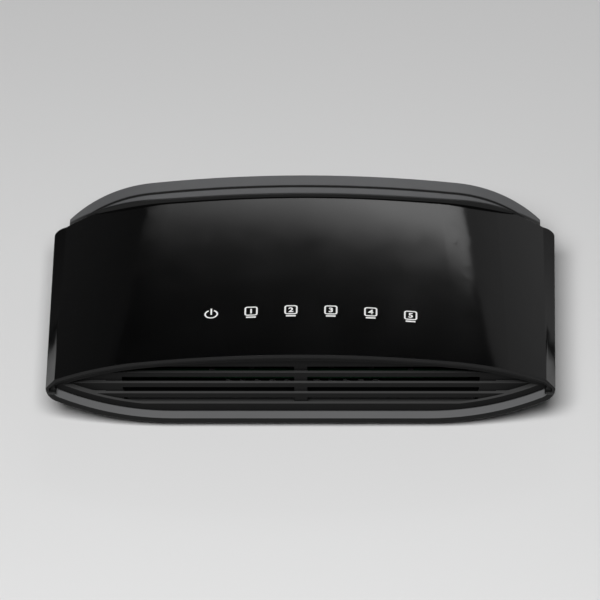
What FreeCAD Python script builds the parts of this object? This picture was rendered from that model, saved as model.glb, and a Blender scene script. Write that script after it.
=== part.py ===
"""Five-port desktop network switch: an arched plastic case with ports at the back.

Frame: millimetres, +X to the right seen from the front, +Y to the back, +Z up. The origin is on the
table, under the middle of the case. Each sub-part is written to parts/NODE.step.
"""
import FreeCAD, Part
import math
import os

V = FreeCAD.Vector
PARTS = "parts"

# ---- driving dimensions, mm ----
WIDTH = 144.0            # over the waist, the widest line of the case
DEPTH = 83.0             # front lip to rear rim
FOOT_STAND = 2.0         # table to the underside of the case
REAR_RIM = 5.7           # how far the rear panel stands out behind the sleeve
HALF = WIDTH / 2
FRONT_Y, BACK_Y = -DEPTH / 2, DEPTH / 2
SHELL_Y = BACK_Y - REAR_RIM      # back edge of the sleeve

# ---- arches: crown height, then tangent arcs from the crown out, as (radius, angle where it ends) ----
FRONT_ARCH = (25.9, ((385.0, 6.8), (95.0, 15.0), (95.0, 21.7)))
BACK_ARCH = (28.6, ((340.0, 6.5), (62.0, 22.5), (80.0, 33.5)))
BROW_ARCH = (29.2, ((360.0, 7.0), (36.6, 30.0), (40.0, 49.0)))

# ---- sleeve: base below, housing above, glossy face plate over the housing ----
FLAT_HALF = 36.0         # half width of the flat underside
BILGE_R = 76.0           # long curve from the flat up to the waist
CORNER_R = 5.0           # tight curve at the waist
BASE_T = 1.8
SEAM_Z, SEAM = 12.3, 0.12        # top of the base, and the shadow line over it
LEDGE_Z = 12.9                   # the face plate's lower edge stands on this ledge
REAR_CORNER_R = 3.5              # rounding of the sleeve's rear corners, seen from above
PLATE_T, PLATE_GAP = 0.9, 0.1
HOUSING_T = 1.4
HOUSING_IN = PLATE_T + PLATE_GAP + HOUSING_T     # outer form to the inside of the housing
EDGE_BREAK = 0.25                # the sleeve's front edge is broken by this much
BROW_HALF = 60.5         # half length of the raised brow along the back
BROW_DEPTH = 3.6         # brow, front to back, at the middle
BROW_POWER = 6           # how squarely the brow's front edge turns to meet the back
PLATE_END_GAP = 0.25     # gap between face plate and brow

# ---- mouth and front grille ----
LIP_BACK = 1.5                   # the housing stops this far behind the face plate's front edge
GRILLE_Y = FRONT_Y + 3.0         # face of the lowest step, behind the lip of the base
GRILLE_DEPTH = 6.0
GRILLE_RIM = 1.85                # plain border left round the steps
LOUVRE_T = 1.2
STEPS = 4
STEP_Z = 2.86                    # height of one louvre step
STEP_Y = 1.0                     # how far each step lies behind the one below
FIRST_STEP_Z = FOOT_STAND + BASE_T + 3.0
SLOT_H = 1.4
SLOT_X0, SLOT_X1 = 1.85, 50.2    # one slot each side of the middle bar
SLOT_GAIN = 0.2                  # each slot is this much longer than the one below
BLIND_X, BLIND_H, BLIND_D = 55.2, 0.4, 0.6       # thin blind grooves beyond the slots

# ---- rear panel ----
PANEL_IN = 0.6                   # rim of the rear panel drawn in from the base's outline
PANEL_GAP = 0.7                  # shadow gap between housing and rear panel
PANEL_RIM = 1.6
PANEL_Y0, PANEL_Y1 = BACK_Y - 2.2, BACK_Y - 0.4
SPIGOT_DROP, SPIGOT_IN = 3.8, BASE_T + 0.1       # the spigot inside housing and base
SPIGOT_T, SPIGOT_L = 0.8, 3.0

# ---- board ----
BOARD_X0, BOARD_X1 = -52.0, 48.0
BOARD_Y0, BOARD_Y1 = -27.0, 37.5
BOARD_Z, BOARD_T = 7.2, 1.6
BOARD_TOP = BOARD_Z + BOARD_T
BOARD_SCREWS = [(x, y) for x in (-47.0, 43.0) for y in (-20.0, 12.0)]
STANDOFF_R = 2.8

# ---- fasteners and feet ----
CASE_SCREWS = [(sx * 57.0, y) for sx in (-1, 1) for y in (-25.0, 22.0)]
POST_R, BOSS_R = 4.2, 3.2
SPLIT_Z = 12.0           # where a base post and its housing boss meet
HEAD_SEAT_Z = 8.6
SCREW_R, SCREW_TIP_Z = 1.3, 16.5
FOOT_R, FOOT_POCKET = 5.0, 0.6
FOOT_X, FOOT_Y = 30.0, 30.5
KEYHOLE_X, KEY_R, KEY_SLOT_R, KEY_SLOT_L = 40.0, 3.5, 1.8, 6.0
VENT_PITCH, VENT_W, VENT_L, VENTS = 4.2, 2.0, 14.0, 11
VENT_ROWS = (-17.0, 14.0)

# ---- ports ----
PORTS = 5
PORT_PITCH, PORT_MID_X = 13.97, 3.0
PORT_XS = [PORT_MID_X + (i - (PORTS - 1) / 2) * PORT_PITCH for i in range(PORTS)]
JACK_W, JACK_H = 13.8, 13.5
JACK_Y0, JACK_Y1 = 23.5, PANEL_Y1 - 0.1
MOUTH_W, MOUTH_H, MOUTH_Z = 11.9, 6.9, BOARD_TOP + 4.0
MOUTH_DEPTH = 13.0
LATCH_STEPS = [(6.2, 1.5), (3.3, 2.9)]        # width and depth under the mouth's floor
CHANNEL_HALF, CHANNEL_Z, CHANNEL_H = 3.9, BOARD_TOP + 11.95, 0.6
CHANNEL_Y = JACK_Y0 + 0.7
CONTACTS = 8
CONTACT_PITCH, CONTACT_W, CONTACT_T = 1.02, 0.5, 0.35

# ---- power inlet ----
INLET_X, INLET_W, INLET_H = -46.5, 9.0, 11.0
INLET_Y0, INLET_SHOULDER_Y, INLET_Y1 = 26.6, PANEL_Y0 - 0.4, PANEL_Y1 - 0.1
INLET_Z = BOARD_TOP + 6.5
INLET_BARREL_R, INLET_BORE_R, INLET_PIN_R, INLET_BORE_L = 4.3, 3.2, 1.0, 9.5

# ---- status lamps ----
LAMPS = 6
LAMP_PITCH, LAMP_MID_X = 11.3, 2.8
LAMP_MID_Y, LAMP_BOW = -20.6, 1.0             # the row bends forward by this much at its ends
LAMP_H = 0.8
GUIDE_HALF, GUIDE_BAR_Z, GUIDE_BAR_T, GUIDE_BAR_W = 1.4, 17.4, 1.6, 6.0
GUIDE_PEG_XS = (LAMP_MID_X - 3.5 * LAMP_PITCH, LAMP_MID_X + 3.5 * LAMP_PITCH)

# ---- board parts ----
CHIP_W, CHIP_T, CHIP_LEADS = 14.0, 1.4, 12
PAD_T = 0.4
SINK_W, SINK_BASE, SINK_H, SINK_FINS, SINK_FIN_T = 19.0, 1.5, 7.0, 7, 1.0
TRANSFORMER_W, TRANSFORMER_L, TRANSFORMER_H, TRANSFORMER_Y = 12.4, 7.0, 5.2, 17.5

os.makedirs(PARTS, exist_ok=True)


# ---- helpers ----
def save(name, *shapes):
    """Writes one node: its solids, as a compound where there are several."""
    solids = [s for shape in shapes for s in shape.Solids]
    whole = solids[0] if len(solids) == 1 else Part.makeCompound(solids)
    if not whole.isValid():
        print("not valid:", name)
    whole.exportStep(os.path.join(PARTS, name + ".step"))
    print(f"{name}: {len(solids)} solids, {sum(s.Volume for s in solids):.1f} mm3")


def block(x0, x1, y0, y1, z0, z1):
    return Part.makeBox(x1 - x0, y1 - y0, z1 - z0, V(x0, y0, z0))


def rod(x, y, z0, z1, r):
    return Part.makeCylinder(r, z1 - z0, V(x, y, z0))


def post(x, y, z0, z1, half):
    """Square post, half its width given."""
    return block(x - half, x + half, y - half, y + half, z0, z1)


def outline(points):
    return Part.makePolygon([V(*p) for p in points] + [V(*points[0])])


def prism(points, travel):
    """A flat outline of points, pushed along travel."""
    return Part.Face(outline(points)).extrude(V(*travel))


def fused(shapes):
    first, *rest = shapes
    return first.fuse(rest).removeSplitter() if rest else first


def slot(x, y0, y1, z0, z1, r):
    """Upright slot with round ends, its round centres at y0 and y1."""
    return fused([rod(x, y0, z0, z1, r), rod(x, y1, z0, z1, r), block(x - r, x + r, y0, y1, z0, z1)])


def ribbon(path, x, width, thick):
    """Flat strip of metal bent along path, a list of (y, z)."""
    legs = [V(0, b[0] - a[0], b[1] - a[1]).normalize() for a, b in zip(path, path[1:])]
    turns = [legs[0]] + [(a + b).normalize() for a, b in zip(legs, legs[1:])] + [legs[-1]]
    sides = []
    for (y, z), turn, leg in zip(path, turns, [legs[0]] + legs):
        reach = thick / 2 / turn.dot(leg)
        sides.append((y - turn.z * reach, z + turn.y * reach, y + turn.z * reach, z - turn.y * reach))
    upper = [(x - width / 2, s[0], s[1]) for s in sides]
    lower = [(x - width / 2, s[2], s[3]) for s in reversed(sides)]
    return prism(upper + lower, (width, 0, 0))


def smooth(points):
    curve = Part.BSplineCurve()
    curve.interpolate([V(*p) for p in points])
    return curve.toShape()


# ---- arches and sections ----
def arch_arcs(arch, inset):
    """The arch's arcs from left to right as (centre x, centre z, radius, first angle, last angle)."""
    crown, arcs = arch
    (radius, stop), *shoulders = arcs
    x, z = 0.0, crown - radius
    middle = (x, z, radius - inset, -stop, stop)
    right = []
    for next_radius, next_stop in shoulders:
        normal = math.radians(stop)
        x += (radius - next_radius) * math.sin(normal)
        z += (radius - next_radius) * math.cos(normal)
        right.append((x, z, next_radius - inset, stop, next_stop))
        radius, stop = next_radius, next_stop
    left = [(-x, z, r, -last, -first) for x, z, r, first, last in reversed(right)]
    return left + [middle] + right


def on_arc(arc, angle, y):
    x, z, radius, *_ = arc
    return V(x + radius * math.sin(math.radians(angle)), y, z + radius * math.cos(math.radians(angle)))


def arch_wire(arch, inset, y, side):
    """Closed section: the arch, then the right-hand points (x, z) of side, mirrored on the left."""
    arcs = arch_arcs(arch, inset)
    edges = [Part.Arc(*[on_arc(arc, a, y) for a in (arc[3], (arc[3] + arc[4]) / 2, arc[4])]).toShape()
             for arc in arcs]
    down = [on_arc(arcs[-1], arcs[-1][4], y)] + [V(x, y, z) for x, z in side]
    up = [V(-p.x, p.y, p.z) for p in reversed(down)]
    corners = down + up
    return Part.Wire(edges + [Part.makeLine(a, b) for a, b in zip(corners, corners[1:])])


def waist_centre():
    """Centre of the tight curve at the waist, and the angle where the long bilge curve meets it."""
    x = HALF - CORNER_R
    rise = math.sqrt((BILGE_R - CORNER_R) ** 2 - (x - FLAT_HALF) ** 2)
    return x, FOOT_STAND + BILGE_R - rise, math.atan2(x - FLAT_HALF, rise)


def base_prism(inset, y0, y1, top_z):
    """Flat bottom, long bilge curves and tight waist curves, drawn in by inset, and up to top_z."""
    cx, cz = FLAT_HALF, FOOT_STAND + BILGE_R
    kx, kz, tilt = waist_centre()

    def on(centre_x, centre_z, r, angle):
        return V(centre_x + r * math.sin(angle), y0, centre_z - r * math.cos(angle))

    bilge_r, corner_r = BILGE_R - inset, CORNER_R - inset
    upright = (tilt + math.pi / 2) / 2
    bilge = Part.Arc(on(cx, cz, bilge_r, 0), on(cx, cz, bilge_r, tilt / 2), on(cx, cz, bilge_r, tilt))
    corner = Part.Arc(on(kx, kz, corner_r, tilt), on(kx, kz, corner_r, upright),
                      on(kx, kz, corner_r, math.pi / 2))
    waist, top = V(HALF - inset, y0, kz), V(HALF - inset, y0, max(top_z, kz + 1))
    right = [bilge.toShape(), corner.toShape(), Part.makeLine(waist, top)]
    left = [e.mirror(V(0, 0, 0), V(1, 0, 0)) for e in right]
    flat = Part.makeLine(V(-cx, y0, cz - bilge_r), V(cx, y0, cz - bilge_r))
    lid = Part.makeLine(top, V(-top.x, y0, top.z))
    wire = Part.Wire(Part.__sortEdges__([flat, lid] + right + left))
    solid = Part.Face(wire).extrude(V(0, y1 - y0, 0))
    return solid if top_z > kz + 1 else solid.common(block(-HALF, HALF, y0, y1, 0, top_z))


def sleeve(inset, y0=FRONT_Y, y1=SHELL_Y):
    """The sleeve's whole form drawn in by inset: arches above, base outline below, cut to y0..y1."""
    waist_x, waist_z = HALF - inset, waist_centre()[1]
    wires = []
    for arch, y in ((FRONT_ARCH, FRONT_Y), (BACK_ARCH, SHELL_Y)):
        last = arch_arcs(arch, inset)[-1]
        edge = on_arc(last, last[4], y)
        past = 1.4
        out_x, out_z = edge.x + (waist_x - edge.x) * past, edge.z + (waist_z - edge.z) * past
        wires.append(arch_wire(arch, inset, y, [(out_x, out_z), (out_x, -10.0)]))
    arches = Part.makeLoft(wires, True, True)
    return arches.common(base_prism(inset, max(y0, FRONT_Y), min(y1, SHELL_Y), 60))


def outer_form():
    """The sleeve's outside with its front edge broken."""
    form = sleeve(0)
    front = [e for e in form.Edges if e.BoundBox.YMax < FRONT_Y + 0.01]
    return form.makeChamfer(EDGE_BREAK, front)


def rear_corner_trim():
    """What the rounding of the sleeve's rear corners takes away."""
    r = REAR_CORNER_R
    trims = []
    for sx in (-1, 1):
        x0, x1 = sorted((sx * (HALF - r), sx * (HALF + 1)))
        corner = block(x0, x1, SHELL_Y - r, SHELL_Y + 1, -1, 60)
        trims.append(corner.cut(rod(sx * (HALF - r), SHELL_Y - r, -2, 61, r)))
    return trims


def brow_front_y(x):
    return SHELL_Y - BROW_DEPTH * (1 - (x / BROW_HALF) ** BROW_POWER)


def brow_region(gap=0.0):
    """Tall block over the brow, in plan: between the brow's front edge and the housing's back edge."""
    half = BROW_HALF + 2 * gap
    xs = [half * math.sin(math.pi / 2 * k / 8) for k in range(-8, 9)]
    front = smooth([(x, brow_front_y(x) - gap if abs(x) < BROW_HALF else SHELL_Y - gap, 0) for x in xs])
    a, b = front.Vertexes[0].Point, front.Vertexes[-1].Point
    back = [Part.makeLine(b, V(b.x, SHELL_Y + 1, 0)),
            Part.makeLine(V(b.x, SHELL_Y + 1, 0), V(a.x, SHELL_Y + 1, 0)),
            Part.makeLine(V(a.x, SHELL_Y + 1, 0), a)]
    return Part.Face(Part.Wire([front] + back)).extrude(V(0, 0, 60))


# ---- outer case ----
def above(z):
    return block(-HALF - 1, HALF + 1, FRONT_Y - 1, BACK_Y + 1, z, 60)


def between(z0, z1):
    return block(-HALF - 1, HALF + 1, FRONT_Y - 1, BACK_Y + 1, z0, z1)


def brow_prism(drop, y0, y1):
    """Under the brow's arch, with upright sides at the arch's ends."""
    last = arch_arcs(BROW_ARCH, drop)[-1]
    end_x = on_arc(last, last[4], 0).x
    return Part.Face(arch_wire(BROW_ARCH, drop, y0, [(end_x, -10.0)])).extrude(V(0, y1 - y0, 0))


def face_plate():
    plate = outer_form().cut(sleeve(PLATE_T)).common(above(LEDGE_Z))
    return plate.cut([brow_region(PLATE_END_GAP)] + rear_corner_trim())


def lamp_places():
    half_row = (LAMPS - 1) / 2 * LAMP_PITCH
    offsets = [(i - (LAMPS - 1) / 2) * LAMP_PITCH for i in range(LAMPS)]
    return [(LAMP_MID_X + d, LAMP_MID_Y - LAMP_BOW * (d / half_row) ** 2) for d in offsets]


def housing_shell():
    """Arched shell under the face plate, its ledge round the waist, and the brow along the back."""
    arch = sleeve(PLATE_T + PLATE_GAP, FRONT_Y + LIP_BACK).common(above(LEDGE_Z))
    ledge = outer_form().common(between(SEAM_Z + SEAM, LEDGE_Z))
    brow = brow_prism(0, SHELL_Y - BROW_DEPTH - 1, SHELL_Y).common(brow_region()).common(above(20))
    return fused([arch, ledge, brow]).cut([sleeve(HOUSING_IN)] + rear_corner_trim())


def upper_housing():
    body = housing_shell()
    top_of_bar = GUIDE_BAR_Z + GUIDE_BAR_T
    hangers = [rod(x, y, SPLIT_Z, 40, BOSS_R) for x, y in CASE_SCREWS]
    hangers += [rod(x, LAMP_MID_Y, top_of_bar, 40, 2.0) for x in GUIDE_PEG_XS]
    hangers += [rod(x, LAMP_MID_Y, GUIDE_BAR_Z - 0.8, 40, 1.0) for x in GUIDE_PEG_XS]
    up_to_roof = sleeve(HOUSING_IN - 0.2)
    body = fused([body] + [h.common(up_to_roof) for h in hangers])
    pilots = [rod(x, y, SPLIT_Z - 1, SCREW_TIP_Z + 0.3, SCREW_R) for x, y in CASE_SCREWS]
    windows = [post(x, y, GUIDE_BAR_Z, 40, GUIDE_HALF + 0.15) for x, y in lamp_places()]
    return body.cut(pilots + windows)


def foot_places():
    return [(sx * FOOT_X, sy * FOOT_Y) for sx in (-1, 1) for sy in (-1, 1)]


def keyhole(x):
    z0, z1 = FOOT_STAND - 1, FOOT_STAND + BASE_T + 1
    return fused([rod(x, -KEY_SLOT_L, z0, z1, KEY_R), slot(x, -KEY_SLOT_L, 0, z0, z1, KEY_SLOT_R)])


def vents():
    z0, z1 = FOOT_STAND - 1, FOOT_STAND + BASE_T + 1
    half = VENT_L / 2
    xs = [(i - (VENTS - 1) / 2) * VENT_PITCH for i in range(VENTS)]
    return [block(x - VENT_W / 2, x + VENT_W / 2, y - half, y + half, z0, z1) for x in xs for y in VENT_ROWS]


def bottom_case():
    whole = outer_form().common(between(0, SEAM_Z))
    shell = whole.cut([base_prism(BASE_T, FRONT_Y - 1, SHELL_Y + 1, 60)] + rear_corner_trim())
    posts = [rod(x, y, FOOT_STAND, SPLIT_Z, POST_R).common(whole) for x, y in CASE_SCREWS]
    standoffs = [rod(x, y, FOOT_STAND + 0.5, BOARD_Z, STANDOFF_R).common(whole) for x, y in BOARD_SCREWS]
    shell = fused([shell] + posts + standoffs)
    wells = [rod(x, y, 0, HEAD_SEAT_Z, 2.9) for x, y in CASE_SCREWS]
    shanks = [rod(x, y, HEAD_SEAT_Z - 1, SPLIT_Z + 1, SCREW_R + 0.2) for x, y in CASE_SCREWS]
    pilots = [rod(x, y, FOOT_STAND + BASE_T + 0.2, BOARD_Z + 1, 1.0) for x, y in BOARD_SCREWS]
    pockets = [rod(x, y, 0, FOOT_STAND + FOOT_POCKET, FOOT_R + 0.1) for x, y in foot_places()]
    keyholes = [keyhole(-KEYHOLE_X), keyhole(KEYHOLE_X)]
    return shell.cut(wells + shanks + pilots + pockets + keyholes + vents())


# ---- front grille ----
def mouth(inset, y0, y1):
    """The lens-shaped mouth inside the housing, drawn in by inset."""
    return sleeve(HOUSING_IN + inset, y0, y1)


def stair(y_shift, z_shift):
    """The louvre's steps as (y, z) points from bottom to top: each riser lies behind the one below."""
    points = []
    for k in range(STEPS + 1):
        y = GRILLE_Y + k * STEP_Y + y_shift
        low = FIRST_STEP_Z + (k - 1) * STEP_Z + z_shift if k else 0.0
        high = FIRST_STEP_Z + k * STEP_Z + z_shift if k < STEPS else 40.0
        points += [(y, low), (y, high)]
    return points


def front_grille():
    y1 = GRILLE_Y + GRILLE_DEPTH
    profile = stair(0, 0) + list(reversed(stair(LOUVRE_T, -LOUVRE_T)))
    louvre = prism([(-80.0, y, z) for y, z in profile], (160.0, 0, 0))
    louvre = louvre.common(mouth(GRILLE_RIM / 2, GRILLE_Y, y1))
    rim = mouth(0, GRILLE_Y, y1).cut(mouth(GRILLE_RIM, GRILLE_Y, y1))
    cuts = []
    for k in range(STEPS):
        z, riser_y = FIRST_STEP_Z + k * STEP_Z, GRILLE_Y + (k + 1) * STEP_Y
        for side in (-1, 1):
            x0, x1 = sorted((side * SLOT_X0, side * (SLOT_X1 + k * SLOT_GAIN)))
            cuts.append(block(x0, x1, riser_y, y1 + 1, z - LOUVRE_T, z + SLOT_H))
            x0, x1 = sorted((side * BLIND_X, side * HALF))
            blind = block(x0, x1, riser_y - 0.2, riser_y + BLIND_D, z, z + BLIND_H)
            cuts.append(blind.common(mouth(GRILLE_RIM, GRILLE_Y, y1)))
    return rim.fuse(louvre).cut(cuts)


# ---- rear panel ----
def panel_prism(drop, inset, y0, y1):
    """The rear panel's outline: drop below the brow's arch, inset from the base's outline."""
    return brow_prism(drop, y0, y1).common(base_prism(inset, y0, y1, 60))


def rear_bezel():
    hollow = (PANEL_RIM, PANEL_IN + PANEL_RIM)
    rim = panel_prism(0, PANEL_IN, SHELL_Y, BACK_Y).cut(panel_prism(*hollow, SHELL_Y, PANEL_Y0))
    rim = rim.cut(panel_prism(*hollow, PANEL_Y1, BACK_Y))
    rim = rim.cut(block(-80, 80, SHELL_Y - 1, SHELL_Y + PANEL_GAP, SEAM_Z, 60))
    spigot_y = SHELL_Y - SPIGOT_L
    spigot = panel_prism(SPIGOT_DROP, SPIGOT_IN, spigot_y, PANEL_Y0)
    spigot = spigot.cut(panel_prism(SPIGOT_DROP + SPIGOT_T, SPIGOT_IN + SPIGOT_T, spigot_y, PANEL_Y0))
    half = INLET_W / 2 + 0.4
    spigot = spigot.cut(block(INLET_X - half, INLET_X + half, spigot_y, PANEL_Y0,
                              BOARD_TOP, BOARD_TOP + INLET_H + 0.4))
    half_row = PORTS / 2 * PORT_PITCH + 0.3
    port_window = block(PORT_MID_X - half_row, PORT_MID_X + half_row, SHELL_Y, BACK_Y,
                        BOARD_TOP - 0.2, BOARD_TOP + JACK_H + 0.2)
    inlet_window = Part.makeCylinder(INLET_BARREL_R + 0.2, 10, V(INLET_X, SHELL_Y, INLET_Z), V(0, 1, 0))
    return rim.fuse(spigot).cut([port_window, inlet_window])


# ---- fasteners and feet ----
def screw(x, y, seat_z, tip_z, shank_r, head_r, head_h, up):
    """Pan-head screw; up says which way its shank points from the seat."""
    far_z = seat_z - head_h if up else seat_z + head_h
    head = rod(x, y, min(far_z, seat_z), max(far_z, seat_z), head_r)
    return head.fuse(rod(x, y, min(seat_z, tip_z), max(seat_z, tip_z), shank_r))


def case_screw(x, y):
    """Long screw from below, with a cross recess in its head."""
    head_r, head_h, recess = 2.5, 1.8, 0.8
    z = HEAD_SEAT_Z - head_h
    cross = [block(x - a, x + a, y - b, y + b, z, z + recess) for a, b in ((1.4, 0.3), (0.3, 1.4))]
    return screw(x, y, HEAD_SEAT_Z, SCREW_TIP_Z, SCREW_R, head_r, head_h, True).cut(cross)


def foot(x, y):
    pad = Part.makeCone(FOOT_R - 0.6, FOOT_R, 1.0, V(x, y, 0))
    return pad.fuse(rod(x, y, 1.0, FOOT_STAND + FOOT_POCKET, FOOT_R)).removeSplitter()


# ---- ports and inlet ----
def port_jack(x):
    body = block(x - JACK_W / 2, x + JACK_W / 2, JACK_Y0, JACK_Y1, BOARD_TOP, BOARD_TOP + JACK_H)
    y0 = JACK_Y1 - MOUTH_DEPTH
    cuts = [block(x - MOUTH_W / 2, x + MOUTH_W / 2, y0, JACK_Y1, MOUTH_Z, MOUTH_Z + MOUTH_H)]
    cuts += [block(x - w / 2, x + w / 2, y0, JACK_Y1, MOUTH_Z - d, MOUTH_Z) for w, d in LATCH_STEPS]
    comb = (x - CHANNEL_HALF, x + CHANNEL_HALF)
    top = CHANNEL_Z + CHANNEL_H
    cuts.append(block(*comb, CHANNEL_Y, CHANNEL_Y + CHANNEL_H, BOARD_TOP, top))
    cuts.append(block(*comb, CHANNEL_Y, JACK_Y1 - 2.0, CHANNEL_Z, top))
    cuts.append(block(*comb, y0 + 2.0, JACK_Y1 - 2.0, MOUTH_Z, top))
    return body.cut(cuts)


def port_contacts(x):
    """Eight springs: up the back, forward along the roof and folded back down into the mouth."""
    roof = CHANNEL_Z + CHANNEL_H - CONTACT_T / 2
    back = CHANNEL_Y + CONTACT_T / 2
    tip_z = MOUTH_Z + 4.8
    path = [(back, BOARD_TOP), (back, roof), (JACK_Y1 - 3.2, roof), (JACK_Y1 - 2.7, roof - 0.7),
            (JACK_Y1 - 9.5, tip_z)]
    first = x - (CONTACTS - 1) / 2 * CONTACT_PITCH
    return [ribbon(path, first + i * CONTACT_PITCH, CONTACT_W, CONTACT_T) for i in range(CONTACTS)]


def inlet_body():
    half = INLET_W / 2
    body = block(INLET_X - half, INLET_X + half, INLET_Y0, INLET_SHOULDER_Y, BOARD_TOP, BOARD_TOP + INLET_H)
    along = V(0, 1, 0)
    barrel = Part.makeCylinder(INLET_BARREL_R, INLET_Y1 - INLET_SHOULDER_Y + 1,
                               V(INLET_X, INLET_SHOULDER_Y - 1, INLET_Z), along)
    bore_y = INLET_Y1 - INLET_BORE_L
    bore = Part.makeCylinder(INLET_BORE_R, INLET_BORE_L, V(INLET_X, bore_y, INLET_Z), along)
    pin_seat = Part.makeCylinder(INLET_PIN_R, 4, V(INLET_X, bore_y - 3, INLET_Z), along)
    leaf_slot = block(INLET_X - 1.6, INLET_X + 1.6, bore_y - 1, bore_y + 6, BOARD_TOP + 1.6, INLET_Z)
    return body.fuse(barrel).cut([bore, pin_seat, leaf_slot])


def inlet_pin():
    start = INLET_Y1 - INLET_BORE_L - 3
    length = INLET_Y1 - 0.8 - start
    pin = Part.makeCylinder(INLET_PIN_R, length, V(INLET_X, start, INLET_Z), V(0, 1, 0))
    tip = max(pin.Edges, key=lambda e: e.CenterOfMass.y)
    return pin.makeChamfer(0.4, [tip])


def inlet_spring():
    y = INLET_Y1 - INLET_BORE_L
    low = BOARD_TOP + 1.6 + 0.15
    return ribbon([(y - 0.9, low), (y + 0.6, low), (y + 3.4, INLET_Z - 2.9), (y + 5.4, low + 1.1)],
                  INLET_X, 3.0, 0.3)


# ---- lamps ----
def light_guide():
    """Six clear square rods on one runner bar, hung on the housing's pegs."""
    xs = [x for x, _ in lamp_places()]
    y0 = LAMP_MID_Y - LAMP_BOW / 2 - GUIDE_BAR_W / 2
    bar = block(GUIDE_PEG_XS[0] - 2.5, GUIDE_PEG_XS[1] + 2.5, y0, y0 + GUIDE_BAR_W,
                GUIDE_BAR_Z, GUIDE_BAR_Z + GUIDE_BAR_T)
    ceiling = sleeve(PLATE_T + PLATE_GAP)
    rods = [post(x, y, BOARD_TOP + LAMP_H, 40, GUIDE_HALF).common(ceiling) for x, y in lamp_places()]
    holes = [rod(x, LAMP_MID_Y, GUIDE_BAR_Z - 1, GUIDE_BAR_Z + GUIDE_BAR_T + 1, 1.05) for x in GUIDE_PEG_XS]
    return fused([bar] + rods).cut(holes)


def status_led(x, y):
    return block(x - 1.0, x + 1.0, y - 0.6, y + 0.6, BOARD_TOP, BOARD_TOP + LAMP_H)


# ---- board parts ----
def circuit_board():
    board = block(BOARD_X0, BOARD_X1, BOARD_Y0, BOARD_Y1, BOARD_Z, BOARD_TOP)
    corners = [e for e in board.Edges if abs(e.Vertexes[0].Z - e.Vertexes[-1].Z) > 1]
    board = board.makeFillet(1.5, corners)
    return board.cut([rod(x, y, BOARD_Z - 1, BOARD_TOP + 1, 1.2) for x, y in BOARD_SCREWS])


def on_board(x, y, w, l, h):
    return block(x - w / 2, x + w / 2, y - l / 2, y + l / 2, BOARD_TOP, BOARD_TOP + h)


def chip_leads():
    """Bent leads round the switch chip, one side made and turned to the other three."""
    edge, shoulder, sole = CHIP_W / 2, BOARD_TOP + CHIP_T / 2, BOARD_TOP + 0.1
    pitch = (CHIP_W - 1.6) / (CHIP_LEADS - 1)
    side = [ribbon([(edge, shoulder), (edge + 0.3, shoulder), (edge + 0.7, sole), (edge + 1.5, sole)],
                   (i - (CHIP_LEADS - 1) / 2) * pitch, 0.3, 0.2) for i in range(CHIP_LEADS)]
    leads = []
    for quarter in range(4):
        for lead in side:
            turned = lead.copy()
            turned.rotate(V(0, 0, 0), V(0, 0, 1), 90 * quarter)
            leads.append(turned)
    return leads


def heat_sink():
    z0 = BOARD_TOP + CHIP_T + PAD_T
    half = SINK_W / 2
    base = block(-half, half, -half, half, z0, z0 + SINK_BASE)
    step = (SINK_W - SINK_FIN_T) / (SINK_FINS - 1)
    fins = [block(-half + i * step, -half + i * step + SINK_FIN_T, -half, half, z0, z0 + SINK_H)
            for i in range(SINK_FINS)]
    return fused([base] + fins)


def transformer_leads():
    leads = []
    for x in PORT_XS:
        for side in (-1, 1):
            y = TRANSFORMER_Y + side * (TRANSFORMER_L / 2 + 0.6)
            leads += [on_board(x + (i - 3.5) * 1.4, y, 0.5, 1.2, 0.9) for i in range(8)]
    return leads


def crystal():
    can = on_board(-18.0, -10.0, 11.0, 4.6, 3.6)
    uprights = [e for e in can.Edges if abs(e.Vertexes[0].Z - e.Vertexes[-1].Z) > 1]
    return can.makeFillet(2.2, uprights)


def save_case():
    save("face_plate", face_plate())
    save("upper_housing", upper_housing())
    save("bottom_case", bottom_case())
    save("front_grille", front_grille())
    save("rear_bezel", rear_bezel())
    save("case_screws", *[case_screw(x, y) for x, y in CASE_SCREWS])
    save("rubber_feet", *[foot(x, y) for x, y in foot_places()])


def save_sockets():
    for number, x in enumerate(PORT_XS, 1):
        save(f"port_jack_{number}", port_jack(x))
        save(f"port_contacts_{number}", *port_contacts(x))
    save("inlet_body", inlet_body())
    save("inlet_pin", inlet_pin())
    save("inlet_spring", inlet_spring())


def save_board():
    save("circuit_board", circuit_board())
    save("board_screws", *[screw(x, y, BOARD_TOP, FOOT_STAND + BASE_T + 0.5, 1.0, 2.2, 1.5, False)
                           for x, y in BOARD_SCREWS])
    save("light_guide", light_guide())
    save("status_leds", *[status_led(x, y) for x, y in lamp_places()])
    save("switch_chip", on_board(0, 0, CHIP_W, CHIP_W, CHIP_T))
    save("chip_leads", *chip_leads())
    pad_z = BOARD_TOP + CHIP_T
    save("thermal_pad", block(-CHIP_W / 2, CHIP_W / 2, -CHIP_W / 2, CHIP_W / 2, pad_z, pad_z + PAD_T))
    save("heat_sink", heat_sink())
    save("transformers", *[on_board(x, TRANSFORMER_Y, TRANSFORMER_W, TRANSFORMER_L, TRANSFORMER_H)
                           for x in PORT_XS])
    save("transformer_leads", *transformer_leads())
    save("crystal", crystal())
    save("memory_chip", on_board(20.0, -8.0, 5.0, 4.0, 1.5))
    save("regulator", on_board(-45.0, -8.0, 6.5, 3.6, 1.7))
    save("coil", rod(-36.5, 18.0, BOARD_TOP, BOARD_TOP + 4.5, 3.2))
    save("capacitors", *[rod(x, y, BOARD_TOP, BOARD_TOP + 8.0, 2.5)
                         for x, y in ((-36.5, 33.0), (-36.5, 26.0), (-45.5, 3.0))])
    save("resistors", *[on_board(x, y - 3.4, 1.6, 0.8, 0.5) for x, y in lamp_places()])
    save("ceramic_capacitors", *[on_board(sx * 13.0, (i - 1) * 4.0, 2.0, 1.2, 1.2)
                                 for sx in (-1, 1) for i in range(5)])


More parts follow.
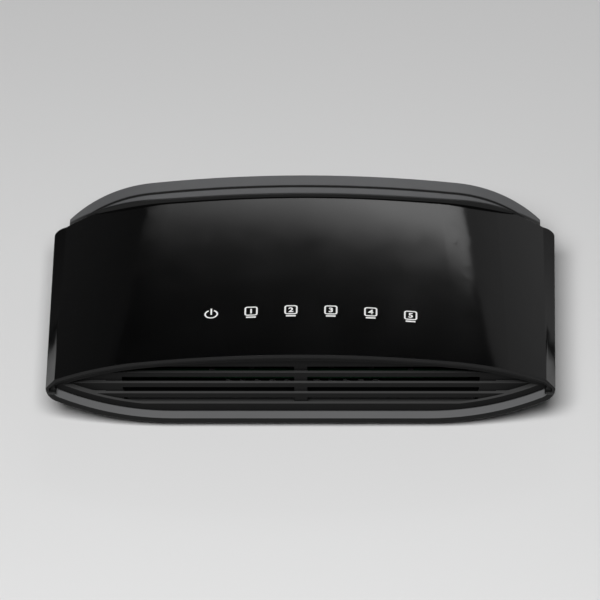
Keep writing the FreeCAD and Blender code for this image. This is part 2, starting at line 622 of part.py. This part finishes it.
save_case()
save_sockets()
save_board()
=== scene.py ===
# %% [markdown]
# # A small desktop network switch
# The object is an arched plastic case. A thin glossy plate lies over the top, a matte housing shows
# behind it as a raised brow, and a stepped louvre closes the front. Its shapes come from the CAD
# model, so this lesson is about a camera, soft light, finishes and printed signs.

# %% Load the frame
import math

import bmesh
import bpy
from mathutils import Matrix, Quaternion, Vector
from mathutils.bvhtree import BVHTree


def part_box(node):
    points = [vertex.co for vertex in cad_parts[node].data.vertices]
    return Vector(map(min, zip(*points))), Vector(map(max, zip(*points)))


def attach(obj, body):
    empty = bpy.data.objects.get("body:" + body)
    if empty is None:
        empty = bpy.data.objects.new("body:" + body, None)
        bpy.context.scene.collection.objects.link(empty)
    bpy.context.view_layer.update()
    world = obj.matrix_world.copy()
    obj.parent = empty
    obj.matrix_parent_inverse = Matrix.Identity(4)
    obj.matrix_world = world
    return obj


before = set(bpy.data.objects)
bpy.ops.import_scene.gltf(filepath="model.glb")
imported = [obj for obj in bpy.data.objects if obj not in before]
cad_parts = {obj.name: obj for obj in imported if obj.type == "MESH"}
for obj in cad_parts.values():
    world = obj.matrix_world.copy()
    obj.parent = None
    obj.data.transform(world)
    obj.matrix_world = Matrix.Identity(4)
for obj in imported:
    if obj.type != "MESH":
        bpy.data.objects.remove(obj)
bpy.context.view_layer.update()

MM = 0.001

# %% [markdown]
# ## Where to look from
# The switch is seen from in front and well above. A short lens close by would spread its sides, so a
# long lens stands far away and keeps the edges nearly parallel. The camera is placed by turn, rise
# and distance, because these can be read as a person would say them, and it leans by a small roll.

# %% Camera
AIM = Vector((-0.76 * MM, 0.0, 15.0 * MM))
CAMERA_TURN, CAMERA_RISE, CAMERA_REACH = math.radians(1.4), math.radians(36.0), 3.0
CAMERA_ROLL = math.radians(-0.82)
LENS_MM = 630.45


def camera_place(turn, rise, reach):
    back = Vector((math.sin(turn) * math.cos(rise), -math.cos(turn) * math.cos(rise), math.sin(rise)))
    return AIM + back * reach


lens = bpy.data.cameras.new("camera")
lens.lens = LENS_MM
lens.clip_end = 20.0
camera = bpy.data.objects.new("camera", lens)
camera.location = camera_place(CAMERA_TURN, CAMERA_RISE, CAMERA_REACH)
looking = (AIM - camera.location).to_track_quat("-Z", "Y")
camera.rotation_euler = (looking @ Quaternion((0, 0, 1), CAMERA_ROLL)).to_euler()
bpy.context.scene.collection.objects.link(camera)
bpy.context.scene.camera = camera
bpy.context.scene.view_settings.view_transform = "Standard"
print("camera at", [round(v, 3) for v in camera.location])

# %% [markdown]
# ## Soft studio light
# Glossy black shows little of its own colour: it shows what it mirrors. One broad lamp in front and
# above lights the floor and the matte parts. The plate doesn't mirror it, so three dim oval lamps
# stand behind the switch. A low one is mirrored as the glow along the back of the plate, and one on
# each side lifts the flanks, the right one more. Ovals are used because their ends fade, where the
# mirrored corner of a rectangle would show. A narrow spread fades a lamp towards its ends as well.

# %% Lamps
def soft_lamp(name, shape, place, target, size, watts, spread=180.0):
    """Area lamp that faces its target; the camera doesn't see it. The spread is in degrees."""
    lamp = bpy.data.lights.new(name, "AREA")
    lamp.shape = shape
    lamp.size, lamp.size_y = size
    lamp.energy = watts
    lamp.spread = math.radians(spread)
    holder = bpy.data.objects.new(name, lamp)
    holder.location = place
    holder.rotation_euler = (Vector(target) - Vector(place)).to_track_quat("-Z", "Y").to_euler()
    holder.visible_camera = False
    bpy.context.scene.collection.objects.link(holder)
    return holder


MIDDLE = (0.0, 0.0, 0.02)
SIDE_X, SIDE_Y, SIDE_Z, SIDE_SIZE = 0.58, 0.70, 0.36, (1.05, 0.60)
STRIP_PLACE, STRIP_TARGET, STRIP_SIZE = (-0.005, 0.34, 0.246), (-0.035, 0.0, 0.02), (0.31, 0.066)
lamps = [
    soft_lamp("key_lamp", "RECTANGLE", (-0.10, -0.90, 1.07), (0, 0, 0), (0.8, 0.6), 24.0),
    soft_lamp("strip_lamp", "ELLIPSE", STRIP_PLACE, STRIP_TARGET, STRIP_SIZE, 0.0070, 42.0),
    soft_lamp("right_lamp", "ELLIPSE", (SIDE_X, SIDE_Y, SIDE_Z), MIDDLE, SIDE_SIZE, 0.165, 110.0),
    soft_lamp("left_lamp", "ELLIPSE", (-SIDE_X, SIDE_Y, SIDE_Z), MIDDLE, SIDE_SIZE, 0.028, 110.0),
]
print("lamps:", {lamp.name: lamp.data.energy for lamp in lamps})

# %% [markdown]
# ## Room light
# The room behind the lamps is nearly dark. More light from all around would turn the black plate
# grey, so the world only keeps the deepest shadows from going fully black.

# %% World
world = bpy.data.worlds.new("studio")
world.use_nodes = True
sky = world.node_tree.nodes["Background"]
sky.inputs["Color"].default_value = (0.92, 0.94, 1.0, 1.0)
sky.inputs["Strength"].default_value = 0.012
bpy.context.scene.world = world
print("world strength", round(sky.inputs["Strength"].default_value, 3))

# %% [markdown]
# ## Small helpers for node trees
# A finish is a tree of nodes. Writing every link by hand is long and hides what the tree does, so
# these helpers take numbers, colours or other nodes' outputs alike, and name the common steps.

# %% Node helpers
def feed(tree, value, socket):
    """Gives a socket a number, a colour of three parts, or another node's output."""
    if isinstance(value, bpy.types.NodeSocket):
        tree.links.new(value, socket)
    elif socket.type == "RGBA":
        socket.default_value = (*value, 1.0)
    else:
        socket.default_value = value


def add(tree, kind, **values):
    """Adds a node; values are its settings, or its inputs by name with spaces as underscores."""
    node = tree.nodes.new(kind)
    for key, value in values.items():
        if hasattr(node, key):
            setattr(node, key, value)
        else:
            feed(tree, value, node.inputs[key.replace("_", " ")])
    return node


def maths(tree, operation, *values):
    node = add(tree, "ShaderNodeMath", operation=operation)
    for socket, value in zip(node.inputs, values):
        feed(tree, value, socket)
    return node.outputs["Value"]


def fade(tree, value, start, end, first=0.0, last=1.0):
    """first where the value is at start, last where it has reached end."""
    node = add(tree, "ShaderNodeMapRange", Value=value, From_Min=start, From_Max=end)
    node.inputs["To Min"].default_value = first
    node.inputs["To Max"].default_value = last
    return node.outputs["Result"]


def part_of(tree, vector, axis):
    return add(tree, "ShaderNodeSeparateXYZ", Vector=vector).outputs[axis]


print("node helpers ready")

# %% [markdown]
# ## Mixing
# A Mix node carries sockets for every kind of data under the same names, so they are reached by
# number: 6 and 7 are its two colours, 2 and 3 its two numbers.

# %% Mixing helpers
def mix_colour(tree, mask, first, second):
    """first where the mask is 0, second where it is 1."""
    node = add(tree, "ShaderNodeMix", data_type="RGBA")
    for value, slot in ((mask, 0), (first, 6), (second, 7)):
        feed(tree, value, node.inputs[slot])
    return node.outputs[2]


def mix_number(tree, mask, first, second):
    node = add(tree, "ShaderNodeMix", data_type="FLOAT")
    for value, slot in ((mask, 0), (first, 2), (second, 3)):
        feed(tree, value, node.inputs[slot])
    return node.outputs[0]


print("mixing helpers ready")

# %% [markdown]
# ## Shared effects
# Several finishes need the same fine grain, and some the same dust. An effect could be copied into
# each material, but then a change has to be made many times. Each is a group of nodes instead, made
# once and placed in every material with its own values.

# %% Helpers for shader groups
def new_group(name, inputs, outputs):
    tree = bpy.data.node_groups.new(name, "ShaderNodeTree")
    tree.interface.new_socket("Vector", in_out="INPUT", socket_type="NodeSocketVector")
    for label, value in inputs.items():
        tree.interface.new_socket(label, in_out="INPUT", socket_type="NodeSocketFloat").default_value = value
    for label in outputs:
        tree.interface.new_socket(label, in_out="OUTPUT", socket_type="NodeSocketFloat")
    return tree, tree.nodes.new("NodeGroupInput").outputs, tree.nodes.new("NodeGroupOutput").inputs


def place_group(tree, group, **values):
    return add(tree, "ShaderNodeGroup", node_tree=group, **values).outputs


print("group helpers ready")

# %% [markdown]
# ## Moulded grain
# The mould of a matte part is sparked, which leaves fine pits all over it, and no mould is worn
# evenly. Small noise and cells give the height of the pits, and slow noise gives the patches in
# which the shine changes a little.

# %% Moulded grain
def make_moulded_grain():
    tree, entry, leave = new_group("moulded_grain", {"Grain Scale": 4000.0}, ("Height", "Patches"))
    place, scale = entry["Vector"], entry["Grain Scale"]
    grain = add(tree, "ShaderNodeTexNoise", Vector=place, Scale=scale, Detail=3.0, Roughness=0.6)
    pits = add(tree, "ShaderNodeTexVoronoi", feature="SMOOTH_F1", Vector=place, Scale=scale, Smoothness=0.6)
    patches = add(tree, "ShaderNodeTexNoise", Vector=place, Scale=60.0, Detail=4.0, Roughness=0.55)
    feed(tree, mix_number(tree, 0.45, grain.outputs["Fac"], pits.outputs["Distance"]), leave["Height"])
    feed(tree, patches.outputs["Fac"], leave["Patches"])
    return tree


moulded_grain = make_moulded_grain()
print("group:", moulded_grain.name)

# %% [markdown]
# ## Fine dust
# A black case soon shows dust on top. A picture of dust would need unwrapped surfaces, so cells make
# the specks: a dot in the middle of one cell in ten, and only where the surface looks up.

# %% Fine dust
def make_fine_dust():
    tree, entry, leave = new_group("fine_dust", {"Amount": 0.3}, ("Mask",))
    cells = add(tree, "ShaderNodeTexVoronoi", Vector=entry["Vector"], Scale=700.0, Randomness=1.0)
    dot = fade(tree, cells.outputs["Distance"], 0.0, 0.12, 1.0, 0.0)
    chance = add(tree, "ShaderNodeSeparateColor", Color=cells.outputs["Color"])
    speck = maths(tree, "MULTIPLY", dot, maths(tree, "GREATER_THAN", chance.outputs["Red"], 0.9))
    normal = add(tree, "ShaderNodeNewGeometry").outputs["Normal"]
    lying = maths(tree, "MULTIPLY", speck, fade(tree, part_of(tree, normal, "Z"), 0.5, 0.95))
    feed(tree, maths(tree, "MULTIPLY", lying, entry["Amount"]), leave["Mask"])
    return tree


fine_dust = make_fine_dust()
print("group:", fine_dust.name)

# %% [markdown]
# ## Where painted light and shade change a finish
# The parts of the case don't look the same all over. Faces that look up are painted paler where the
# light falls, faces that look forward are painted dark as the shade under an edge, and the plastic
# beside a deep groove is painted dark as the shade where it rounds into the groove.
# The direction of a face gives the first two. The grooves are found by place: one runs straight
# across before the rear panel, and the other follows the back edge of the plate, which a power of
# six keeps nearly straight in the middle and bends at both ends.

# %% Masks
BROW_HALF, BROW_DEPTH, BROW_POWER = 60.5 * MM, 3.6 * MM, 6.0
SEAM_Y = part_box("upper_housing")[1][1]
SEAM_HALF = 0.35 * MM                   # half the gap before the rear panel
SEAM_SHADE = (0.5 * MM, 0.8 * MM)       # dark and plain again at these distances off its middle
PLATE_SHADE = (0.4 * MM, 0.9 * MM)      # the same behind the plate's back edge
FORWARD = (-0.3, -0.6)                  # a face that looks forward has its normal's Y below these


def faces_toward(tree, axis, low, high):
    """0 where the part of the normal along the axis is at low, 1 where it has reached high."""
    normal = add(tree, "ShaderNodeNewGeometry").outputs["Normal"]
    return fade(tree, part_of(tree, normal, axis), low, high)


def near_grooves(tree, place):
    """1 beside the gap before the rear panel and beside the curved back edge of the face plate, where shade
    is painted.
    """
    x, y = part_of(tree, place, "X"), part_of(tree, place, "Y")
    across = maths(tree, "ABSOLUTE", maths(tree, "DIVIDE", x, BROW_HALF))
    bend = maths(tree, "POWER", across, BROW_POWER)
    edge_y = maths(tree, "MULTIPLY_ADD", bend, BROW_DEPTH, SEAM_Y - BROW_DEPTH)
    at_plate = fade(tree, maths(tree, "SUBTRACT", y, edge_y), *PLATE_SHADE, 1.0, 0.0)
    off_seam = maths(tree, "ABSOLUTE", maths(tree, "SUBTRACT", y, SEAM_Y + SEAM_HALF))
    return maths(tree, "MAXIMUM", at_plate, fade(tree, off_seam, *SEAM_SHADE, 1.0, 0.0))


print(f"gap before the rear panel at y {SEAM_Y / MM:.2f} mm")

# %% [markdown]
# ## A maker for moulded finishes
# Plastic, rubber and metal parts differ in colour, shine and grain, but their trees are alike, so
# one maker builds them all. Two near colours and two near roughnesses mix over the slow patches.
# The grain goes into a bump, and a Bevel node rounds the look of sharp edges, which costs no faces.

# %% Finish maker
SOFT_EDGE = 0.12 * MM
GRAIN_DEPTH = 0.04 * MM
DUST = (0.30, 0.29, 0.28)
# Painted shade beside the two deep grooves of the case.
GROOVE_SHADE = (0.004,) * 3


def plain_finish(name, dark, light, rough, grain_scale, relief, metallic=0.0, specular=0.5):
    """A finish with no changes by place; gives its colour and roughness too, for later changes."""
    material = bpy.data.materials.new(name)
    material.use_nodes = True
    tree = material.node_tree
    skin = tree.nodes["Principled BSDF"].inputs
    skin["IOR"].default_value = 1.5
    skin["Metallic"].default_value = metallic
    skin["Specular IOR Level"].default_value = specular
    place = add(tree, "ShaderNodeTexCoord").outputs["Object"]
    grain = place_group(tree, moulded_grain, Vector=place, Grain_Scale=grain_scale)
    edge = add(tree, "ShaderNodeBevel", samples=6, Radius=SOFT_EDGE).outputs["Normal"]
    bump = add(tree, "ShaderNodeBump", Strength=relief, Distance=GRAIN_DEPTH, Normal=edge)
    feed(tree, grain["Height"], bump.inputs["Height"])
    feed(tree, bump.outputs["Normal"], skin["Normal"])
    colour = mix_colour(tree, grain["Patches"], dark, light)
    roughness = fade(tree, grain["Patches"], 0.3, 0.7, *rough)
    return material, skin, place, colour, roughness


def finish(name, *values, changes=None, dust=0.0, **settings):
    """The finish as a material; changes is a function that alters its colour and roughness."""
    material, skin, place, colour, roughness = plain_finish(name, *values, **settings)
    tree = material.node_tree
    if changes:
        colour, roughness = changes(tree, place, colour, roughness)
    if dust:
        specks = place_group(tree, fine_dust, Vector=place, Amount=dust)["Mask"]
        colour = mix_colour(tree, specks, colour, DUST)
    feed(tree, colour, skin["Base Color"])
    feed(tree, roughness, skin["Roughness"])
    return material


print("soft edge, mm:", SOFT_EDGE / MM)

# %% [markdown]
# ## The face plate
# The plate comes out of a polished mould and is nearly a mirror, so its own colour hardly counts.
# Its narrow front edge looks forward and would mirror the big lamp as a hard white line, which the
# real plate doesn't show. A moved lamp would spoil the rest, so forward faces are dull instead.

# %% Face plate finish
PLATE_EDGE, PLATE_EDGE_ROUGH = (0.0015,) * 3, 0.95


def dull_edge(tree, place, colour, roughness):
    ahead = faces_toward(tree, "Y", *FORWARD)
    return mix_colour(tree, ahead, colour, PLATE_EDGE), mix_number(tree, ahead, roughness, PLATE_EDGE_ROUGH)


gloss_plate = finish("gloss_plate", (0.0007,) * 3, (0.0011,) * 3, (0.10, 0.125), 900.0, 0.02,
                     changes=dull_edge, dust=0.05)
print("finish:", gloss_plate.name)

# %% [markdown]
# ## The housing and the rear panel
# Both are the same dark grey, matte plastic. Their forward faces stand in the grooves or under the
# edge of the plate, where little light gets in, so they are painted black as shade, and the plastic
# beside the grooves is painted dark with them as the shade of the grooves.

# %% Housing finish
FORWARD_SHADE, FORWARD_SHADE_ROUGH = (0.003,) * 3, 0.9


def dark_grooves(tree, place, colour, roughness):
    # Painted shade: forward faces and the plastic beside the two grooves get a near-black colour.
    ahead = faces_toward(tree, "Y", *FORWARD)
    colour = mix_colour(tree, ahead, colour, FORWARD_SHADE)
    roughness = mix_number(tree, ahead, roughness, FORWARD_SHADE_ROUGH)
    return mix_colour(tree, near_grooves(tree, place), colour, GROOVE_SHADE), roughness


matte_case = finish("matte_case", (0.098, 0.0995, 0.1025), (0.110, 0.1115, 0.1145), (0.42, 0.50),
                    5200.0, 0.30, changes=dark_grooves, dust=0.25)
print("finish:", matte_case.name)

# %% [markdown]
# ## The base
# The base is black, and its colour is painted by place. The open lip before the grille looks up into
# the light and is painted as a paler band, and the rest of the base is painted black as shade, so the
# floor inside, seen through the slots, stays dark. Only the lip looks up and lies before the grille, so
# the direction of a face and its place are multiplied into one mask.

# %% Base finish
BASE_SHADE = (0.004,) * 3
LIP_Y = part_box("front_grille")[0][1] + 0.5 * MM
LIP_FADE = 0.8 * MM


def pale_lip(tree, place, colour, roughness):
    # Painted light on the up-facing lip, painted shade everywhere else on the base.
    before_grille = fade(tree, part_of(tree, place, "Y"), LIP_Y + LIP_FADE, LIP_Y)
    lip = maths(tree, "MULTIPLY", faces_toward(tree, "Z", 0.15, 0.3), before_grille)
    return mix_colour(tree, lip, BASE_SHADE, colour), roughness


base_shell = finish("base_shell", (0.130, 0.131, 0.133), (0.144, 0.145, 0.147), (0.42, 0.50),
                    5200.0, 0.30, changes=pale_lip, specular=0.2)
print(f"finish: {base_shell.name}, lip up to y {LIP_Y / MM:.2f} mm")

# %% [markdown]
# ## The grille
# The steps of the louvre are satin black. Light from above lies on their treads, and the upright
# faces between them stay dark, so the treads are painted a little paler than the rest, as painted light.

# %% Grille finish
GRILLE_DARK, LIT_TREAD = (0.006,) * 3, (0.052,) * 3


def paler_treads(tree, place, colour, roughness):
    # Painted light: faces that look up get the paler tread colour.
    return mix_colour(tree, faces_toward(tree, "Z", 0.3, 0.9), colour, LIT_TREAD), roughness


grille_skin = finish("grille_skin", GRILLE_DARK, (0.008,) * 3, (0.45, 0.55), 5200.0, 0.25,
                     changes=paler_treads, specular=0.12)
print("finish:", grille_skin.name)

# %% [markdown]
# ## Small plastic and rubber parts
# Sockets show in the rear panel and feet from below, while the board and its chips stay inside and
# are seen when the model is taken apart. Each gets its own colour and shine from the same maker.

# %% Small parts' finishes
socket_plastic = finish("socket_plastic", (0.018,) * 3, (0.022,) * 3, (0.35, 0.45), 3000.0, 0.15)
foot_rubber = finish("foot_rubber", (0.014,) * 3, (0.02,) * 3, (0.75, 0.85), 2500.0, 0.4)
chip_epoxy = finish("chip_epoxy", (0.025,) * 3, (0.032,) * 3, (0.55, 0.65), 3000.0, 0.3)
board_mask = finish("board_mask", (0.004, 0.028, 0.012), (0.006, 0.042, 0.017), (0.3, 0.4), 800.0, 0.1)
ceramic_body = finish("ceramic_body", (0.34, 0.25, 0.16), (0.42, 0.32, 0.2), (0.5, 0.6), 3000.0, 0.1)
pad_silicone = finish("pad_silicone", (0.26, 0.28, 0.31), (0.3, 0.32, 0.35), (0.7, 0.8), 2000.0, 0.2)
lamp_epoxy = finish("lamp_epoxy", (0.75, 0.72, 0.5), (0.8, 0.77, 0.55), (0.15, 0.2), 1500.0, 0.05)
print("finishes so far:", [material.name for material in bpy.data.materials])

# %% [markdown]
# ## Metals
# Tinned leads, zinc screws and the aluminium sink are metal with fine scatter. A metal has no matte
# colour under its shine, so metallic is simply 1. Gold plating on the contacts is the only warm one.

# %% Metals
METAL = {"metallic": 1.0}
tinned_metal = finish("tinned_metal", (0.58,) * 3, (0.66,) * 3, (0.25, 0.38), 2500.0, 0.1, **METAL)
zinc_screw = finish("zinc_screw", (0.28,) * 3, (0.36,) * 3, (0.3, 0.42), 2500.0, 0.15, **METAL)
gold_contact = finish("gold_contact", (0.83, 0.58, 0.2), (0.9, 0.66, 0.28), (0.18, 0.28), 2500.0, 0.05,
                      **METAL)
sink_metal = finish("sink_metal", (0.66, 0.66, 0.68), (0.74, 0.74, 0.76), (0.3, 0.42), 2000.0, 0.15, **METAL)
print("metals:", [metal.name for metal in (tinned_metal, zinc_screw, gold_contact, sink_metal)])

# %% [markdown]
# ## The light guide
# A clear piece carries the light of each lamp up towards its sign. Light has to pass through it, so
# it gets full transmission in place of the maker's opaque skin, and noise varies its polish.

# %% Clear guide
def clear_plastic():
    material = bpy.data.materials.new("clear_guide")
    material.use_nodes = True
    tree = material.node_tree
    skin = tree.nodes["Principled BSDF"].inputs
    skin["Transmission Weight"].default_value = 1.0
    skin["IOR"].default_value = 1.49
    skin["Base Color"].default_value = (0.93, 0.95, 0.96, 1.0)
    place = add(tree, "ShaderNodeTexCoord").outputs["Object"]
    waves = add(tree, "ShaderNodeTexNoise", Vector=place, Scale=300.0)
    feed(tree, fade(tree, waves.outputs["Fac"], 0.0, 1.0, 0.05, 0.15), skin["Roughness"])
    return material


clear_guide = clear_plastic()
print("finish:", clear_guide.name)

# %% [markdown]
# ## Dressing the solids
# Every solid keeps its shape and takes the finish of the real piece. A table of names is easier to
# check than a line of code for each of the 37 pieces, and a loop adds the five sockets.

# %% Finishes on the solids
FINISHES = {
    "face_plate": gloss_plate, "upper_housing": matte_case, "bottom_case": base_shell,
    "rear_bezel": matte_case, "front_grille": grille_skin, "case_screws": zinc_screw,
    "board_screws": zinc_screw, "rubber_feet": foot_rubber, "circuit_board": board_mask,
    "light_guide": clear_guide, "status_leds": lamp_epoxy, "switch_chip": chip_epoxy,
    "chip_leads": tinned_metal, "thermal_pad": pad_silicone, "heat_sink": sink_metal,
    "transformers": chip_epoxy, "transformer_leads": tinned_metal, "crystal": tinned_metal,
    "memory_chip": chip_epoxy, "regulator": chip_epoxy, "coil": chip_epoxy,
    "capacitors": sink_metal, "resistors": chip_epoxy, "ceramic_capacitors": ceramic_body,
    "inlet_body": socket_plastic, "inlet_pin": tinned_metal, "inlet_spring": tinned_metal,
}
PORTS = range(1, 6)
for number in PORTS:
    FINISHES[f"port_jack_{number}"] = socket_plastic
    FINISHES[f"port_contacts_{number}"] = gold_contact
for node, material in FINISHES.items():
    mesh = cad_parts[node].data
    mesh.materials.clear()
    mesh.materials.append(material)
print("dressed", len(FINISHES), "of", len(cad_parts), "solids")

# %% [markdown]
# ## Printed signs
# Six signs are printed in white over the lamps: a power sign, then a small screen for each port with
# the port's number in it. Ink is a layer far thinner than paper. It could be a colour in the plate's
# finish, but thin flat meshes keep sharp outlines at any size. An outline is a short line across the
# stroke that is drawn out into a band: spin turns it round a corner, and with a distance in place of
# an angle it moves it along a side. Each sign is drawn flat around the middle of the world, and its
# points are then dropped straight down onto the arched plate.

# %% Flat shapes
STROKE = 0.46 * MM
CORNER_STEPS, RING_STEPS = 6, 28
CLOSE_ENOUGH = 0.001 * MM


def add_bar(bm, middle, size):
    """A filled rectangle."""
    place = Matrix.Translation((*middle, 0)) @ Matrix.Diagonal((*size, 1, 1))
    return bmesh.ops.create_grid(bm, x_segments=1, y_segments=1, size=0.5, matrix=place)["verts"]


def across_stroke(bm, outer, inner):
    """A line across the stroke, to be drawn out into a band; its points and its edge."""
    ends = [bm.verts.new(outer), bm.verts.new(inner)]
    return [*ends, bm.edges.new(ends)]


def add_frame(bm, size, corner):
    """The line moved along each side and spun round each corner, then closed where it began."""
    x, y = size[0] / 2 - corner, size[1] / 2 - corner
    tip = across_stroke(bm, (x + corner, -y, 0), (x + corner - STROKE, -y, 0))
    sides = (((x, y), (0, 2 * y)), ((-x, y), (-2 * x, 0)), ((-x, -y), (0, -2 * y)), ((x, -y), (2 * x, 0)))
    for centre, side in sides:
        tip = bmesh.ops.spin(bm, geom=tip, axis=(0, 0, 1), dvec=(*side, 0), steps=1)["geom_last"]
        tip = bmesh.ops.spin(bm, geom=tip, axis=(0, 0, 1), cent=(*centre, 0), angle=math.radians(90),
                             steps=CORNER_STEPS)["geom_last"]
    bmesh.ops.remove_doubles(bm, verts=bm.verts, dist=CLOSE_ENOUGH)


def add_open_ring(bm, radius, start, sweep):
    """The line spun part of the way round the middle."""
    ray = Vector((math.cos(start), math.sin(start), 0))
    tip = across_stroke(bm, ray * (radius - STROKE / 2), ray * (radius + STROKE / 2))
    bmesh.ops.spin(bm, geom=tip, axis=(0, 0, 1), cent=(0, 0, 0), angle=sweep, steps=RING_STEPS)


print("stroke, mm:", STROKE / MM)

# %% [markdown]
# ## A number in the sign
# A digit is a font's outline filled in. The text object is turned into a mesh at once, scaled to its
# height and centred, so that every number sits in the middle of its screen.

# %% Digits
DIGIT_WIDENING = 0.03


def add_digit(bm, text, height):
    curve = bpy.data.curves.new("digit", "FONT")
    curve.body = text
    curve.offset = DIGIT_WIDENING
    holder = bpy.data.objects.new("digit", curve)
    mesh = bpy.data.meshes.new_from_object(holder)
    xs = [v.co.x for v in mesh.vertices]
    ys = [v.co.y for v in mesh.vertices]
    scale = height / (max(ys) - min(ys))
    centre = Vector(((max(xs) + min(xs)) / 2, (max(ys) + min(ys)) / 2, 0))
    mesh.transform(Matrix.Scale(scale, 4) @ Matrix.Translation(-centre))
    bm.from_mesh(mesh)
    bpy.data.objects.remove(holder)
    bpy.data.curves.remove(curve)
    bpy.data.meshes.remove(mesh)


print("digits, widened by", DIGIT_WIDENING, "of their size")

# %% [markdown]
# ## Onto the plate
# The plate is arched, so a flat sign would float at one end and sink at the other. A ray is sent down
# from each point of the drawing, and the point is put where the ray meets the plate, a hair above it.

# %% Printing
PRINT_LIFT = 0.02 * MM
RAY_START = 1.0


def plate_surface():
    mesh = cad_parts["face_plate"].data
    return BVHTree.FromPolygons([v.co for v in mesh.vertices], [p.vertices for p in mesh.polygons])


PLATE = plate_surface()


def print_on_plate(name, bm, x, y, ink):
    """Moves the flat drawing to its place and drops every point onto the plate."""
    bmesh.ops.translate(bm, verts=bm.verts, vec=(x, y, 0))
    for vert in bm.verts:
        hit, normal, _, _ = PLATE.ray_cast(Vector((vert.co.x, vert.co.y, RAY_START)), Vector((0, 0, -1)))
        vert.co = hit + normal * PRINT_LIFT
    bmesh.ops.recalc_face_normals(bm, faces=bm.faces)
    if sum(face.normal.z for face in bm.faces) < 0:
        bmesh.ops.reverse_faces(bm, faces=bm.faces)
    mesh = bpy.data.meshes.new(name)
    bm.to_mesh(mesh)
    bm.free()
    mesh.materials.append(ink)
    sign = bpy.data.objects.new(name, mesh)
    bpy.context.scene.collection.objects.link(sign)
    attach(sign, "root")
    return sign


print("print lift, mm:", PRINT_LIFT / MM)

# %% [markdown]
# ## Where the signs stand
# Each sign lies over one of the six lamps on the board, so its place is measured from the lamps'
# solid, which moves with the CAD model. The row bends towards the front at both ends.

# %% Places of the signs
LED_LOW, LED_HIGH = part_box("status_leds")
LED_HALF = Vector((1.0 * MM, 0.6 * MM))      # half of one lamp
ROW_X0, ROW_X1 = LED_LOW[0] + LED_HALF.x, LED_HIGH[0] - LED_HALF.x
ROW_FRONT, ROW_BACK = LED_LOW[1] + LED_HALF.y, LED_HIGH[1] - LED_HALF.y


def sign_place(index):
    """Over lamp number index: 0 is the power sign, 1 to 5 are the ports."""
    share = index / len(PORTS)
    bend = (share * 2 - 1) ** 2
    return ROW_X0 + (ROW_X1 - ROW_X0) * share, ROW_BACK + (ROW_FRONT - ROW_BACK) * bend


print("row of signs, mm:", [[round(v / MM, 2) for v in sign_place(index)] for index in (0, *PORTS)])

# %% [markdown]
# ## The power sign
# It is a ring left open at the top, with an upright bar in the opening.

# %% Power sign
white_ink = finish("white_ink", (0.80, 0.80, 0.79), (0.86, 0.86, 0.85), (0.35, 0.45), 3000.0, 0.05)
RING_R, RING_START, RING_SWEEP = 1.72 * MM, math.radians(115), math.radians(310)
POWER_BAR_Y0, POWER_BAR_Y1 = -0.3 * MM, 2.5 * MM


def power_sign(ink):
    bm = bmesh.new()
    add_open_ring(bm, RING_R, RING_START, RING_SWEEP)
    add_bar(bm, (0, (POWER_BAR_Y0 + POWER_BAR_Y1) / 2), (STROKE, POWER_BAR_Y1 - POWER_BAR_Y0))
    return print_on_plate("power_sign", bm, *sign_place(0), ink)


print("sign:", power_sign(white_ink).name)

# %% [markdown]
# ## The port signs
# Each is the frame of a screen with the port's number in it, on a short foot.

# %% Port signs
SCREEN, SCREEN_CORNER = (3.75 * MM, 4.1 * MM), 0.85 * MM
FOOT_MIDDLE, FOOT = (0, -2.75 * MM), (2.76 * MM, 0.6 * MM)
DIGIT_HEIGHT = 2.15 * MM


def port_sign(number, ink):
    bm = bmesh.new()
    add_frame(bm, SCREEN, SCREEN_CORNER)
    add_bar(bm, FOOT_MIDDLE, FOOT)
    add_digit(bm, str(number), DIGIT_HEIGHT)
    return print_on_plate(f"port_sign_{number}", bm, *sign_place(number), ink)


port_signs = [port_sign(number, white_ink) for number in PORTS]
print("faces in each sign:", {sign.name: len(sign.data.polygons) for sign in port_signs})

# %% [markdown]
# ## The floor
# A plain pale floor catches a soft shadow and shows nothing else. It is far wider than the view, so
# no edge of it shows, and slow noise keeps it from being one flat colour.

# %% Floor
FLOOR_HALF = 6.0


def pale_floor():
    material = bpy.data.materials.new("pale_floor")
    material.use_nodes = True
    tree = material.node_tree
    skin = tree.nodes["Principled BSDF"].inputs
    skin["Roughness"].default_value = 0.9
    skin["Specular IOR Level"].default_value = 0.1
    place = add(tree, "ShaderNodeTexCoord").outputs["Object"]
    mottle = add(tree, "ShaderNodeTexNoise", Vector=place, Scale=3.0, Detail=3.0)
    feed(tree, mix_colour(tree, mottle.outputs["Fac"], (0.70,) * 3, (0.73,) * 3), skin["Base Color"])
    return material


def make_floor():
    bm = bmesh.new()
    bmesh.ops.create_grid(bm, x_segments=1, y_segments=1, size=FLOOR_HALF)
    mesh = bpy.data.meshes.new("floor")
    bm.to_mesh(mesh)
    bm.free()
    mesh.materials.append(pale_floor())
    floor = bpy.data.objects.new("floor", mesh)
    bpy.context.scene.collection.objects.link(floor)
    return floor


print("stage:", make_floor().name)
